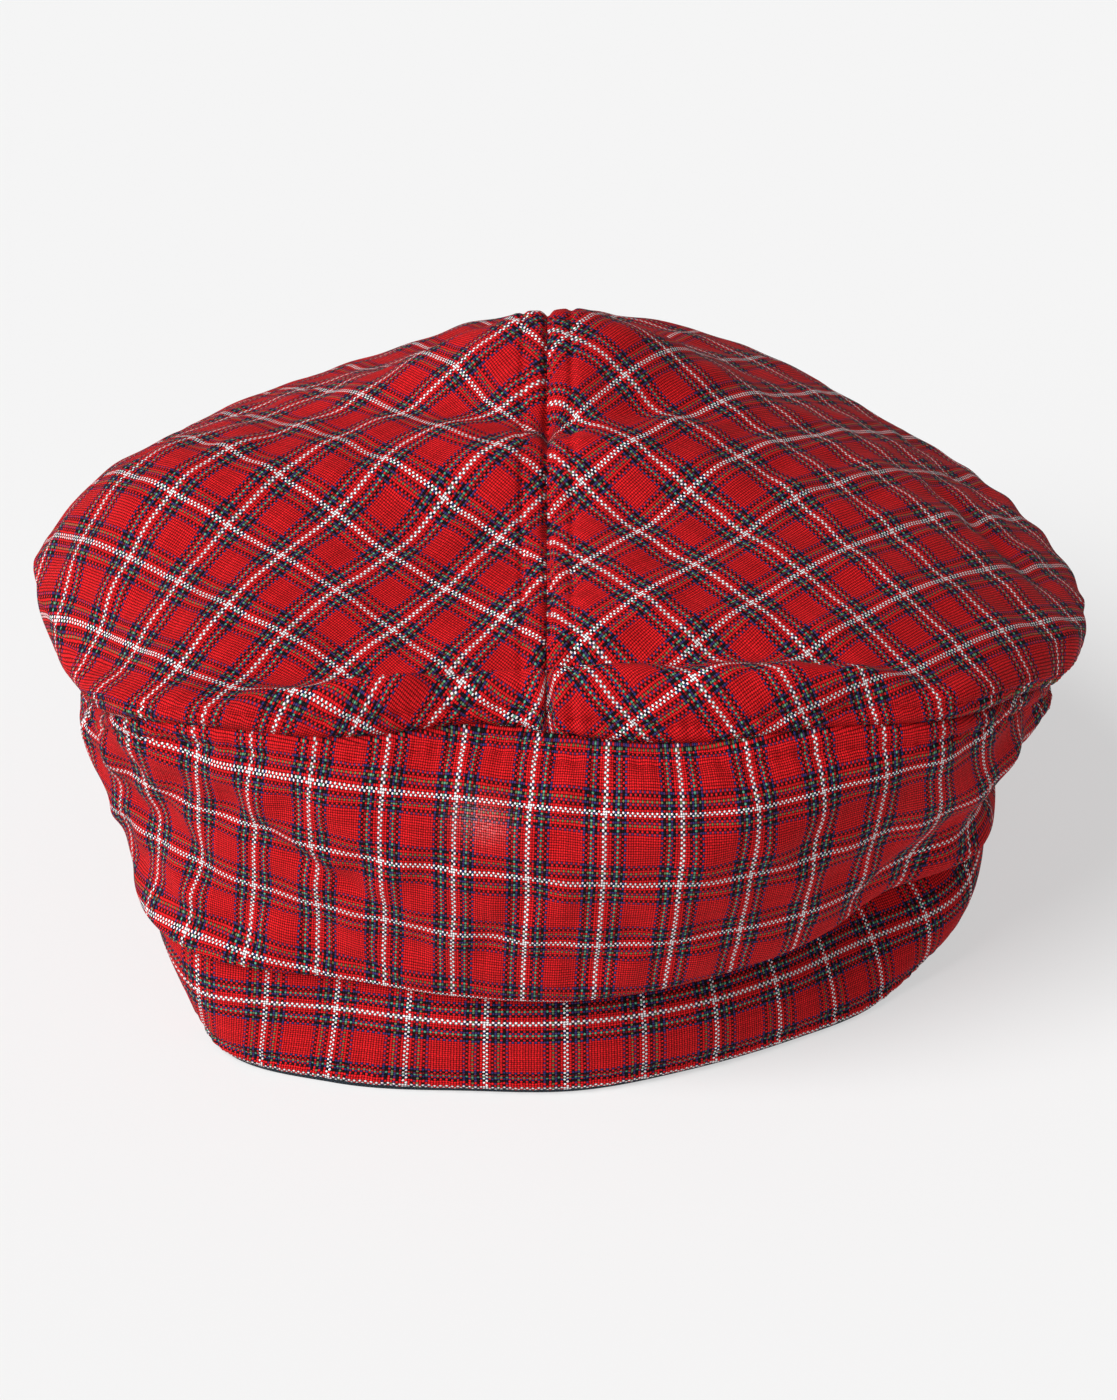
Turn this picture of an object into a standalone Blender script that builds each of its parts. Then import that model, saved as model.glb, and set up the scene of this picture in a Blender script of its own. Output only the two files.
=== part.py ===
"""Soft checked cloth cap: a two-piece round crown, a deep side wall, a straight
head band and the plain facing inside the band.  Lengths in the tables are in
millimetres and become metres when the solids are made."""
import bpy
import numpy as np

MM = 0.001

# Vertical axis that the tables turn about, before the cap is centred.
AXIS_X = -3.0
AXIS_Y = 100.0

CLOTH = 1.2            # wall of the crown, the side wall and the band
FACING = 1.0           # wall of the facing
SEAM_GAP = 0.2         # each piece stops this far short of a seam line
LAYER_GAP = 0.6        # air between the band and the facing behind it
BAND_HEIGHT = 33.0
BAND_MIDDLE = 18.0     # height of the band's middle row
BAND_RAISE = 1.7       # the facing shows below the band by this much
BAND_ROWS = (32.9, 25.0, 18.0, 9.0, BAND_RAISE)
FACING_ROWS = (30.0, 18.0, 9.0, 0.0)
TUCK = 0.6             # how far the wall's hidden edge stands off the band
TUCK_RISE = 0.5
CROWN_MIDDLE = 0.62    # share of the rim radius where mid_z is measured
CENTRE_Z = 129.5       # height of the crown over the axis, before its folds
WALL_CALM = 0.2        # share of the wall's rows over which its dents fade at a seam
RIM_CALM = 0.06        # share of the rim radius over which folds fade at the rim
STEPS = 64             # sections around the cap
ROUND = np.arange(STEPS) * 360.0 / STEPS - 180.0
TOP_ROWS = (0.97, 0.91, 0.83, 0.74, 0.64, 0.54, 0.44, 0.34, 0.24, 0.14, 0.06, 0.0)

# Sections around the cap: angle from the front toward the right in degrees,
# radius from the axis and height above the floor.
BAND_TABLE = dict(
    angle=[-180, -150, -120, -90, -72, -59, -47, -30, -12, 5, 22, 40, 55, 68, 80, 98, 125, 152],
    foot=[52, 56, 70, 86, 95, 107, 118.5, 112, 103, 101, 98.6, 101, 107, 109, 112, 110, 82, 60],
    mid=[55, 59, 74, 94, 106, 117.5, 121, 107.5, 101.8, 99.8, 99.3, 100.5, 105, 118, 120, 115, 84, 62],
    top=[56, 60, 78, 102, 110, 119.5, 119, 104, 98, 95, 92.5, 92.5, 96, 109, 113.5, 110, 85, 63],
    lift=[0, 0, 0, 0, 0, 0, 0, 0, 0, 0, 0, 0, 0, 3, 7, 5, 0, 0],
)
WALL_TABLE = dict(
    angle=[-180, -150, -120, -90, -72, -59, -47, -30, -12, 5, 22, 40, 55, 68, 80, 98, 125, 152],
    fold=[66, 70, 88, 107, 115, 123, 123.5, 107.5, 102.5, 103, 104.5, 106.5, 109.5, 123, 122.5, 117.5, 94, 72],
    fold_z=[32, 32, 32, 33, 31, 31.5, 32.5, 31, 30, 30.5, 33, 35, 39, 40, 41.5, 38, 33, 32],
    low=[96, 98, 107, 118.5, 121.5, 120, 117, 108, 106, 108, 111, 113, 115, 121.5, 118, 117, 109, 100],
    low_z=[43, 43, 45, 49, 50, 50, 50, 50, 50, 50, 52, 52, 52, 52, 54, 50, 46, 43],
    high=[118, 118, 121, 125.5, 127.5, 123, 117, 113, 105, 109, 116, 118, 127, 129, 128, 129, 124, 120],
    high_z=[58, 58, 60, 62, 66, 74, 84, 87, 88, 88, 88, 87, 84, 74, 66, 61, 60, 59],
    seam=[128, 128, 128, 126, 124, 129, 120, 105, 88, 93, 101, 112, 129, 132, 136, 136, 132, 129],
    seam_z=[72, 72, 72, 74, 81, 93, 99, 101, 102, 102, 101, 101, 97, 89, 79, 74, 72, 72],
)
CROWN_TABLE = dict(
    angle=[-180, -150, -120, -90, -72, -59, -47, -30, -12, 5, 22, 40, 55, 68, 80, 98, 125, 152],
    lip=[137, 137, 137, 134, 130.5, 130, 120, 103, 87, 90, 98, 111, 129, 135, 141, 142, 140, 138],
    lip_z=[80, 80, 80, 84, 90, 98, 105, 108, 108, 111, 110, 106, 104, 95, 84, 78, 79, 80],
    rim=[139, 139, 138, 137, 126, 120, 113, 97, 81, 83, 92, 110, 122, 130, 140, 146.5, 143, 140],
    rim_z=[94, 93, 93, 97, 95, 103, 107, 115, 114, 118, 118.5, 118, 108, 103, 94, 84, 90, 93],
    mid_z=[131, 124, 125, 132, 125, 123, 119, 117, 120, 123, 125, 124, 124, 124, 121, 120, 120, 128],
)
# Rises and hollows of the crown top: middle, half length, half width, turn, height.
CROWN_FOLDS = dict(
    x=[18, 0, 3, 0, 113, -25, 18, -3, 116],
    y=[26.5, 91, 108, 137, 152, 113, 111, 96, 117],
    length=[52, 60, 55, 50, 36, 24, 24, 26, 26],
    width=[6.5, 11, 12, 27, 10, 6.5, 6.5, 6.5, 8],
    turn=[0, 0, 0, 0, -62, -21, 17, 90, -56],
    height=[-7.5, 10, 8, 28, -3.5, -4, -4, -2, -6],
)
# Dents and swellings of the side wall: angle, height, half width in degrees,
# half height, rise per degree and depth outward.
WALL_FOLDS = dict(
    angle=[-66, -58, -43, -33, -48, 8, 62, 82, 76],
    z=[62, 86, 87, 66, 40, 88, 66, 69, 57],
    width=[16, 14, 9, 11, 16, 20, 8, 12, 10],
    half=[7, 8, 6, 4, 4.5, 5, 9, 6, 4],
    slope=[-0.25, -0.3, 0.1, -0.8, -0.2, 0.0, 0.0, 0.1, 0.2],
    depth=[-3.5, 2.0, 2.5, -2.0, -2.0, -0.5, 3.5, 4.5, -0.8],
)

CLOTH_RED = (0.42, 0.022, 0.028, 1.0)
FACING_NAVY = (0.015, 0.03, 0.05, 1.0)


def around(table, name, phi):
    """Column of a section table read at the angles phi, smooth and closed."""
    angle = np.array(table["angle"], float)
    value = np.array(table[name], float)
    angle = np.concatenate([angle[-2:] - 360.0, angle, angle[:3] + 360.0])
    value = np.concatenate([value[-2:], value, value[:3]])
    turned = (np.asarray(phi, float) + 180.0) % 360.0 - 180.0
    k = np.clip(np.searchsorted(angle, turned, side="right") - 1, 1, len(angle) - 3)
    step = np.diff(angle)
    rise = np.diff(value) / step
    slope = (rise[:-1] * step[1:] + rise[1:] * step[:-1]) / (step[1:] + step[:-1])
    span = step[k]
    t = (turned - angle[k]) / span
    return hermite(value[k], value[k + 1], slope[k - 1] * span, slope[k] * span, t)


def hermite(start, end, leave, arrive, t):
    """Cubic from start to end with the given end slopes."""
    first = (2 * t**3 - 3 * t**2 + 1) * start + (t**3 - 2 * t**2 + t) * leave
    return first + (3 * t**2 - 2 * t**3) * end + (t**3 - t**2) * arrive


def smooth_rows(rows, counts):
    """Curve through the rows of (radius, height); counts gives the steps in each span."""
    last = len(rows) - 1
    chord = [np.sqrt(np.linalg.norm(rows[k + 1] - rows[k], axis=-1, keepdims=True) + 1e-6)
             for k in range(last)]
    slopes = [None] * (last + 1)
    for k in range(1, last):
        before = (rows[k] - rows[k - 1]) / chord[k - 1]
        after = (rows[k + 1] - rows[k]) / chord[k]
        across = (rows[k + 1] - rows[k - 1]) / (chord[k - 1] + chord[k])
        slopes[k] = before - across + after
    curve = []
    for k in range(last):
        straight = rows[k + 1] - rows[k]
        leave = straight if k == 0 else slopes[k] * chord[k]
        arrive = straight if k == last - 1 else slopes[k + 1] * chord[k]
        for step in range(counts[k]):
            curve.append(hermite(rows[k], rows[k + 1], leave, arrive, step / counts[k]))
    curve.append(rows[last])
    return np.stack(curve, axis=1)


def place(phi, curve):
    """Turn (radius, height) rows about the axis."""
    sine = np.sin(np.radians(phi))[:, None]
    cosine = np.cos(np.radians(phi))[:, None]
    across = AXIS_X + curve[..., 0] * sine
    along = AXIS_Y - curve[..., 0] * cosine
    return np.stack([across, along, curve[..., 1]], axis=-1)


def pair(table, radius, height, phi):
    """One row of (radius, height) at the angles phi."""
    return np.stack([around(table, radius, phi), around(table, height, phi)], axis=-1)


def fold_height(x, y):
    """Height added to the crown top by its rises and hollows."""
    height = np.zeros_like(x)
    rows = zip(*(CROWN_FOLDS[name] for name in ("x", "y", "length", "width", "turn", "height")))
    for fold_x, fold_y, length, width, turn, rise in rows:
        cosine = np.cos(np.radians(turn))
        sine = np.sin(np.radians(turn))
        along = (x - fold_x) * cosine + (y - fold_y) * sine
        across = (y - fold_y) * cosine - (x - fold_x) * sine
        height += rise * np.exp(-(along / length) ** 2 - (across / width) ** 2)
    return height


def crown_top(phi, rim, share):
    """Row of the crown top at a share of the rim radius.

    Its rise or fall grows with the third and fifth powers of the share, so the
    cloth stays smooth at the middle."""
    radius = rim[:, 0] * share
    edge = rim[:, 1] - CENTRE_Z
    middle = around(CROWN_TABLE, "mid_z", phi) - CENTRE_Z
    third = (middle - edge * CROWN_MIDDLE**5) / (CROWN_MIDDLE**3 - CROWN_MIDDLE**5)
    fifth = edge - third
    x = AXIS_X + radius * np.sin(np.radians(phi))
    y = AXIS_Y - radius * np.cos(np.radians(phi))
    calm = np.clip((1.0 - share) / RIM_CALM, 0.0, 1.0)
    height = CENTRE_Z + third * share**3 + fifth * share**5
    return np.stack([radius, height + fold_height(x, y) * calm], axis=-1)


def crown_surface(phi):
    """Crown from the seam over the rim to the middle."""
    seam = pair(WALL_TABLE, "seam", "seam_z", phi) + np.array([0.0, SEAM_GAP])
    lip = pair(CROWN_TABLE, "lip", "lip_z", phi)
    rim = pair(CROWN_TABLE, "rim", "rim_z", phi)
    rows = [seam, lip, rim] + [crown_top(phi, rim, share) for share in TOP_ROWS]
    counts = [2, 2] + [1] * len(TOP_ROWS)
    return place(phi, smooth_rows(rows, counts))


def wall_folds(phi, z):
    """Depth added outward to the side wall, fading to nothing at its two edges."""
    depth = np.zeros_like(z)
    rows = zip(*(WALL_FOLDS[name] for name in ("angle", "z", "width", "half", "slope", "depth")))
    for angle, middle, width, half, slope, out in rows:
        turned = ((phi - angle + 180.0) % 360.0 - 180.0)[:, None]
        depth += out * np.exp(-(turned / width) ** 2 - ((z - middle - slope * turned) / half) ** 2)
    share = np.linspace(0.0, 1.0, z.shape[1])
    calm = np.clip(np.minimum(share, 1.0 - share) / WALL_CALM, 0.0, 1.0)
    return depth * calm


def wall_surface(phi):
    """Side wall from the seam down to the hidden edge behind its lower fold."""
    seam = pair(WALL_TABLE, "seam", "seam_z", phi) - np.array([0.0, SEAM_GAP])
    high = pair(WALL_TABLE, "high", "high_z", phi)
    low = pair(WALL_TABLE, "low", "low_z", phi)
    fold = pair(WALL_TABLE, "fold", "fold_z", phi)
    inward = around(BAND_TABLE, "top", phi) + TUCK
    tuck = np.stack([inward, band_lift(phi) + BAND_HEIGHT + TUCK_RISE], axis=-1)
    curve = smooth_rows([seam, high, low, fold, tuck], [3, 4, 4, 2])
    curve[..., 0] += wall_folds(phi, curve[..., 1])
    return place(phi, curve)


def band_lift(phi):
    """Height of the band's lower edge, which never dips below the floor."""
    return np.maximum(around(BAND_TABLE, "lift", phi), 0.0)


def band_surface(phi, heights=BAND_ROWS):
    """Band rows at the given heights, read between its top, middle and foot."""
    lift = band_lift(phi)
    known = (("top", BAND_HEIGHT), ("mid", BAND_MIDDLE), ("foot", 0.0))
    rows = []
    for height in heights:
        radius = np.zeros_like(lift)
        for name, own in known:
            weight = 1.0
            for other_name, other in known:
                if other_name != name:
                    weight *= (height - other) / (own - other)
            radius += weight * around(BAND_TABLE, name, phi)
        rows.append(np.stack([radius, lift + height], axis=-1))
    return place(phi, np.stack(rows, axis=1))


def surface_normals(grid, closed):
    """Outward normals of a grid of points (sections, rows)."""
    if closed:
        along = np.roll(grid, -1, axis=0) - np.roll(grid, 1, axis=0)
    else:
        along = np.gradient(grid, axis=0)
    down = np.gradient(grid, axis=1)
    normal = np.cross(along, down)
    length = np.linalg.norm(normal, axis=-1, keepdims=True)
    normal = normal / np.maximum(length, 1e-9)
    outward = grid - np.array([AXIS_X, AXIS_Y, 60.0])
    if np.sum(normal * outward) < 0.0:
        normal = -normal
    return normal


def level(normal):
    """Normals laid flat, so a seam edge is cut level."""
    flat = normal * np.array([1.0, 1.0, 0.0])
    return flat / np.linalg.norm(flat, axis=-1, keepdims=True)


def add_solid(name, vertices, faces, material):
    """Object from vertices in millimetres."""
    mesh = bpy.data.meshes.new(name)
    mesh.from_pydata([tuple(float(c) * MM for c in v) for v in vertices], [], faces)
    mesh.validate()
    mesh.materials.append(material)
    part = bpy.data.objects.new(name, mesh)
    bpy.context.scene.collection.objects.link(part)
    return part


def ring_solid(name, outer, inner, material):
    """Closed shell from two closed grids."""
    sections, rows = outer.shape[:2]
    vertices = np.concatenate([outer.reshape(-1, 3), inner.reshape(-1, 3)])
    shift = sections * rows
    faces = []
    for i in range(sections):
        j = (i + 1) % sections
        for k in range(rows - 1):
            a, b = i * rows + k, j * rows + k
            faces.append((a, a + 1, b + 1, b))
            faces.append((a + shift, b + shift, b + 1 + shift, a + 1 + shift))
        for k, flip in ((0, False), (rows - 1, True)):
            a, b = i * rows + k, j * rows + k
            edge = (a, b, b + shift, a + shift)
            faces.append(edge[::-1] if flip else edge)
    return add_solid(name, vertices, faces, material)


def panel_solid(name, outer, inner, material):
    """Closed shell from two open grids whose last row is one point."""
    sections, rows = outer.shape[:2]
    used = rows - 1
    vertices = list(outer[:, :used].reshape(-1, 3)) + [outer[0, used]]
    shift = len(vertices)
    vertices += list(inner[:, :used].reshape(-1, 3)) + [inner[0, used]]
    middle = shift - 1
    faces = []
    for i in range(sections - 1):
        for k in range(used - 1):
            a, b = i * used + k, (i + 1) * used + k
            faces.append((a, a + 1, b + 1, b))
            faces.append((a + shift, b + shift, b + 1 + shift, a + 1 + shift))
        a, b = i * used + used - 1, (i + 1) * used + used - 1
        faces.append((a, middle, b))
        faces.append((a + shift, b + shift, middle + shift))
        a, b = i * used, (i + 1) * used
        faces.append((a, b, b + shift, a + shift))
    for i, flip in ((0, False), (sections - 1, True)):
        line = [i * used + k for k in range(used)] + [middle]
        for a, b in zip(line[:-1], line[1:]):
            edge = (a, a + shift, b + shift, b)
            faces.append(edge[::-1] if flip else edge)
    return add_solid(name, vertices, faces, material)


def cloth_material(name, colour, roughness):
    """Plain matt cloth."""
    material = bpy.data.materials.new(name)
    material.use_nodes = True
    shader = material.node_tree.nodes["Principled BSDF"]
    shader.inputs["Base Color"].default_value = colour
    shader.inputs["Roughness"].default_value = roughness
    return material


def crown_panel(name, side, material):
    """Half of the crown; side is +1 for the right half and -1 for the left."""
    phi = side * np.linspace(0.0, 180.0, STEPS // 2 + 1)
    outer = crown_surface(phi)
    normal = surface_normals(outer, False)
    normal[:, -1] = (0.0, 0.0, 1.0)
    for end in (0, -1):
        normal[end, :, 0] = 0.0
        normal[end] /= np.linalg.norm(normal[end], axis=-1, keepdims=True)
    normal[:, 0] = level(normal[:, 0])
    inner = outer - CLOTH * normal
    shift = np.array([side * SEAM_GAP, 0.0, 0.0])
    return panel_solid(name, outer + shift, inner + shift, material)


def wall_ring(name, phi, material):
    """Side wall, cut level at both seams."""
    outer = wall_surface(phi)
    normal = surface_normals(outer, True)
    for row in (0, -1):
        normal[:, row] = level(normal[:, row])
    return ring_solid(name, outer, outer - CLOTH * normal, material)


def band_ring(name, phi, heights, behind, thickness, material):
    """Upright ring that follows the band at a distance behind its face."""
    face = band_surface(phi, heights)
    normal = level(surface_normals(face, True))
    outer = face - behind * normal
    return ring_solid(name, outer, outer - thickness * normal, material)


def centre_parts(parts):
    """Stand the cap on the floor with the middle of its box over the origin."""
    corners = np.array([tuple(v.co) for part in parts for v in part.data.vertices])
    low = corners.min(axis=0)
    high = corners.max(axis=0)
    middle = ((low[0] + high[0]) / 2, (low[1] + high[1]) / 2, low[2])
    for part in parts:
        for vertex in part.data.vertices:
            vertex.co.x -= middle[0]
            vertex.co.y -= middle[1]
            vertex.co.z -= middle[2]


def turn_faces_out(part):
    """Make every face look outward."""
    volume = 0.0
    mesh = part.data
    for face in mesh.polygons:
        first = mesh.vertices[face.vertices[0]].co
        for a, b in zip(face.vertices[1:-1], face.vertices[2:]):
            volume += first.dot(mesh.vertices[a].co.cross(mesh.vertices[b].co))
    if volume < 0.0:
        mesh.flip_normals()


def build():
    for old in list(bpy.data.objects):
        bpy.data.objects.remove(old, do_unlink=True)
    red = cloth_material("checked_cloth", CLOTH_RED, 0.85)
    navy = cloth_material("facing_cloth", FACING_NAVY, 0.8)
    parts = [
        crown_panel("crown_left", -1, red),
        crown_panel("crown_right", 1, red),
        wall_ring("side_wall", ROUND, red),
        band_ring("band", ROUND, BAND_ROWS, 0.0, CLOTH, red),
        band_ring("facing", ROUND, FACING_ROWS, CLOTH + LAYER_GAP, FACING, navy),
    ]
    for part in parts:
        turn_faces_out(part)
    centre_parts(parts)


build()
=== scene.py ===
"""Finished pieces of a soft checked cloth cap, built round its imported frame.

Lengths in the tables are millimetres about the cap's own axis; pieces are made
in metres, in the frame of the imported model."""
import math

import bmesh
import bpy
import numpy as np
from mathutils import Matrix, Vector


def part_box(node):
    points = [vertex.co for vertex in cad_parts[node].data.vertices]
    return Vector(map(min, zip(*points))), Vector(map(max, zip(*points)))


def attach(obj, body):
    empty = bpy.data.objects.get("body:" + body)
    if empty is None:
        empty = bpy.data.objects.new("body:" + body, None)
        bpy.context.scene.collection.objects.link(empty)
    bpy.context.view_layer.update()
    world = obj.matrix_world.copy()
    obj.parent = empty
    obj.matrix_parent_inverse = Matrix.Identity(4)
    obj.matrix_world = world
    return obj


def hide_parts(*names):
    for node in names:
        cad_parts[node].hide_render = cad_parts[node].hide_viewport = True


MM = 0.001

# ---------------------------------------------------------------- dimensions

AXIS_X = -3.0
AXIS_Y = 100.0
HOLLOW_Z = 60.0        # a height inside the hollow, from which outward is judged

CLOTH = 1.2            # wall of the crown, the side wall and the band
FACING = 1.0           # wall of the facing
SEAM_GAP = 0.01        # each piece stops this far short of a seam line
LAYER_GAP = 0.6        # air between the band and the facing behind it
BAND_HEIGHT = 33.0
BAND_MIDDLE = 18.0     # height of the band's middle row
BAND_RAISE = 1.7       # the facing shows below the band by this much
BAND_TOP_ROW = 32.9
FACING_TOP = 30.0
TUCK = 0.6             # how far the wall's hidden edge stands off the band
TUCK_RISE = 0.5
CROWN_MIDDLE = 0.62    # share of the rim radius where mid_z is measured
CENTRE_Z = 129.5       # height of the crown over the axis, before its folds
OVER_RIM = 0.97        # share of the rim radius whose row guides the rim's roll
OVER_STEPS = 3
WALL_CALM = 0.2        # share of the wall's rows over which its dents fade at a seam
RIM_CALM = 0.06        # share of the rim radius over which folds fade at the rim

# Sections around the cap: angle from the front toward the right in degrees,
# radius from the axis and height above the floor.
ANGLES = [-180, -150, -120, -90, -72, -59, -47, -30, -12, 5, 22, 40, 55, 68, 80, 98, 125, 152]
BAND_TABLE = dict(
    foot=[52, 56, 70, 86, 95, 107, 118.5, 112, 103, 101, 98.6, 101, 107, 109, 112, 110, 82, 60],
    mid=[55, 59, 74, 94, 106, 117.5, 121, 107.5, 101.8, 99.8, 99.3, 100.5, 105, 118, 120, 115, 84, 62],
    top=[56, 60, 78, 102, 110, 119.5, 119, 104, 98, 95, 92.5, 92.5, 96, 109, 113.5, 110, 85, 63],
    lift=[0, 0, 0, 0, 0, 0, 0, 0, 0, 0, 0, 0, 0, 3, 7, 5, 0, 0],
)
WALL_TABLE = dict(
    fold=[66, 70, 88, 107, 115, 123, 123.5, 107.5, 102.5,
          103, 104.5, 106.5, 109.5, 123, 122.5, 117.5, 94, 72],
    fold_z=[32, 32, 32, 33, 31, 31.5, 32.5, 31, 30, 30.5, 33, 35, 39, 40, 41.5, 38, 33, 32],
    low=[96, 98, 107, 118.5, 121.5, 120, 117, 108, 106, 108, 111, 113, 115, 121.5, 118, 117, 109, 100],
    low_z=[43, 43, 45, 49, 50, 50, 50, 50, 50, 50, 52, 52, 52, 52, 54, 50, 46, 43],
    high=[118, 118, 121, 125.5, 127.5, 123, 117, 113, 105, 109, 116, 118, 127, 129, 128, 129, 124, 120],
    high_z=[58, 58, 60, 62, 66, 74, 84, 87, 88, 88, 88, 87, 84, 74, 66, 61, 60, 59],
    seam=[128, 128, 128, 126, 124, 129, 120, 105, 88, 93, 101, 112, 129, 132, 136, 136, 132, 129],
    seam_z=[72, 72, 72, 74, 81, 93, 99, 101, 102, 102, 101, 101, 97, 89, 79, 74, 72, 72],
)
CROWN_TABLE = dict(
    lip=[137, 137, 137, 134, 130.5, 130, 120, 103, 87, 90, 98, 111, 129, 135, 141, 142, 140, 138],
    lip_z=[80, 80, 80, 84, 90, 98, 105, 108, 108, 111, 110, 106, 104, 95, 84, 78, 79, 80],
    rim=[139, 139, 138, 137, 126, 120, 113, 97, 81, 83, 92, 110, 122, 130, 140, 146.5, 143, 140],
    rim_z=[94, 93, 93, 97, 95, 103, 107, 115, 114, 118, 118.5, 118, 108, 103, 94, 84, 90, 93],
    mid_z=[131, 124, 125, 132, 125, 123, 119, 117, 120, 123, 125, 124, 124, 124, 121, 120, 120, 128],
)
# Rises and hollows of the crown top: middle, half length, half width, turn, height.
CROWN_FOLDS = dict(
    x=[18, 0, 3, 0, 113, -25, 18, -3, 116],
    y=[26.5, 91, 108, 137, 152, 113, 111, 96, 117],
    length=[52, 60, 55, 50, 36, 24, 24, 26, 26],
    width=[6.5, 11, 12, 27, 10, 6.5, 6.5, 6.5, 8],
    turn=[0, 0, 0, 0, -62, -21, 17, 90, -56],
    height=[-7.5, 10, 8, 28, -3.5, -4, -4, -2, -6],
)
# Dents and swellings of the side wall: angle, height, half width in degrees,
# half height, rise per degree and depth outward.
WALL_FOLDS = dict(
    angle=[-66, -58, -43, -33, -48, 8, 62, 82, 76],
    z=[62, 86, 87, 66, 40, 88, 66, 69, 57],
    width=[16, 14, 9, 11, 16, 20, 8, 12, 10],
    half=[7, 8, 6, 4, 4.5, 5, 9, 6, 4],
    slope=[-0.25, -0.3, 0.1, -0.8, -0.2, 0.0, 0.0, 0.1, 0.2],
    depth=[-3.5, 2.0, 2.5, -2.0, -2.0, -0.5, 3.5, 4.5, -0.8],
)

# Steps of the fine surfaces, and how many of them make one step of the net
# that is laid flat to find the run of the threads.
CROWN_TURN = 288       # steps from the front seam to the back seam
CROWN_SPANS = (8, 8, 96)  # seam to lip, lip to rim, rim to middle
WALL_TURN = 480
WALL_SPANS = (16, 16, 16, 8)
BAND_TURN = 400
BAND_STEPS = 32
FACING_STEPS = 12
NET = 8                # rows to one row of the net
CROWN_NET = 6          # sections to one section of the crown's net
WALL_NET = 5           # and of the wall's
# Links of the net: sections across, rows down and how firm they are.
NET_LINKS = ((1, 0, 1.0), (0, 1, 1.0), (1, 1, 0.5), (1, -1, 0.5), (2, 0, 0.3), (0, 2, 0.3))
CROWN_ROUNDS = 1500    # rounds in which the net settles
WALL_ROUNDS = 600
SETTLE_KEEP = 0.9      # share of its speed that a point keeps in each round
SETTLE_PULL = 0.5      # share of the links' pull that it follows
SHORTEST = 1e-6        # links and runs shorter than this count for nothing
TINY = 1e-12           # keeps a division from a zero
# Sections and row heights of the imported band, which place the tables in its frame.
SOLID_TURN = 64
SOLID_ROWS = (BAND_TOP_ROW, 25.0, BAND_MIDDLE, 9.0, BAND_RAISE)

# Threads of the cloth: pitch in millimetres and threads to half a repeat.
WARP_PITCH = 0.597
WARP_HALF = 16
WEFT_PITCH = 0.743
WEFT_HALF = 14

WELD = 0.001           # points nearer than this are one

CROWN_THREADS = {-1: (-52.3, (16.4, 56.1), (1.0, 1.0)), 1: (52.9, (10.9, 38.7), (1.0, 1.0))}
WALL_THREADS = (-1.5, (5.4, -42.2), (1.035, 1.04))
BAND_THREADS = (0.0, (-21.2, -5.0), (1.0, 1.0))
# Places where the cloth is drawn aside: place on the flat piece, how far the
# threads move across and along the warp, and the reach of the pull.
CROWN_PULLS = {
    -1: dict(
        x=[-24, -66, -42, -6, -50],
        y=[2, -68, -40, 16, 11],
        across=[4.0, 3.0, -2.5, -3.0, 2.0],
        along=[-2.0, -4.0, 3.0, 5.0, -1.5],
        reach=[24, 22, 18, 14, 14],
    ),
    1: dict(
        x=[105, 58, 22, 64],
        y=[-30, 6, -34, -14],
        across=[3.0, -3.0, 1.5, -1.0],
        along=[0.0, -1.0, 2.3, -1.0],
        reach=[26, 26, 28, 20],
    ),
}
# Cloth gathered behind the front crest, by angle: how far the cloth in front of
# it has moved outward and aside.
CREST_TUCK = dict(
    angle=[-50, -30, -18, -1, 1, 15, 27, 40, 52],
    outward=[0, 4.5, 13, 15, 11, 10, 7.5, 3, 0],
    aside=[0, -5, -5, -7, 3, 3, 1, 0, 0],
)
TUCK_START = 0.99      # shares of the rim radius between which the gathering lies
TUCK_END = 0.88
WALL_PULLS = dict(
    x=[-95, 131, -92, 110, 121],
    y=[-14, -1, 42, 16, 40],
    across=[1.0, -8.0, -5.0, -4.0, 5.0],
    along=[-4.0, 0.0, 2.0, 4.0, 0.0],
    reach=[26, 20, 18, 16, 20],
)
BAND_PULLS = dict(
    x=[16, 18, 18],
    y=[-98, -84, 130],
    across=[3.0, 0.0, 0.0],
    along=[0.0, -4.4, 16.0],
    reach=[14, 28, 50],
)

# Depths and widths of the seams and stitched rows.
SEAM_DEPTH = 1.8       # at the seam between the crown halves
EDGE_DEPTH = 1.5       # at the seam between the crown and the side wall
SEAM_WIDTH = 1.2
SEAM_CALM = 2.5        # the centre seam's groove fades over this run at the edge
DITCH_DEPTH = 0.9
DITCH_WIDTH = 1.0
PUCKER_DEPTH = 0.45
PUCKER_PITCH = 5.0
PUCKER_REACH = 3.0
# Slow waves by which the puckers wander along their row.
WANDER = dict(
    rise=[0.9, 0.7],
    turn=[0.21, 0.093],
    start=[0.0, 1.0],
)
CROWN_STITCH = 6.5     # stitched rows, measured from the seam or the edge beside them
RIM_STITCH = 5.0
RIM_LEAN = 1.3         # how much faster the puckers of that row follow x than y
WALL_STITCH = 5.5
BAND_STITCH = 4.6
BAND_DENT = 0.8        # the deepest that the band may sink, over the facing behind it
# Slow waves of the cloth: turn per millimetre each way, start and rise.
LUMPS = dict(
    across=[0.31, -0.22, 0.12, 0.40, -0.35, 0.05],
    along=[0.10, 0.28, -0.33, -0.15, 0.20, 0.42],
    up=[0.22, 0.15, 0.30, -0.25, 0.38, 0.10],
    start=[0.0, 1.3, 2.1, 4.0, 5.2, 3.3],
    rise=[0.30, 0.30, 0.25, 0.18, 0.18, 0.22],
)
CROWN_LUMPS = 0.7      # the crown is a little smoother than the wall
LUMP_CALM = 6.0        # the cloth lies calm this near to a seam or fold
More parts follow.
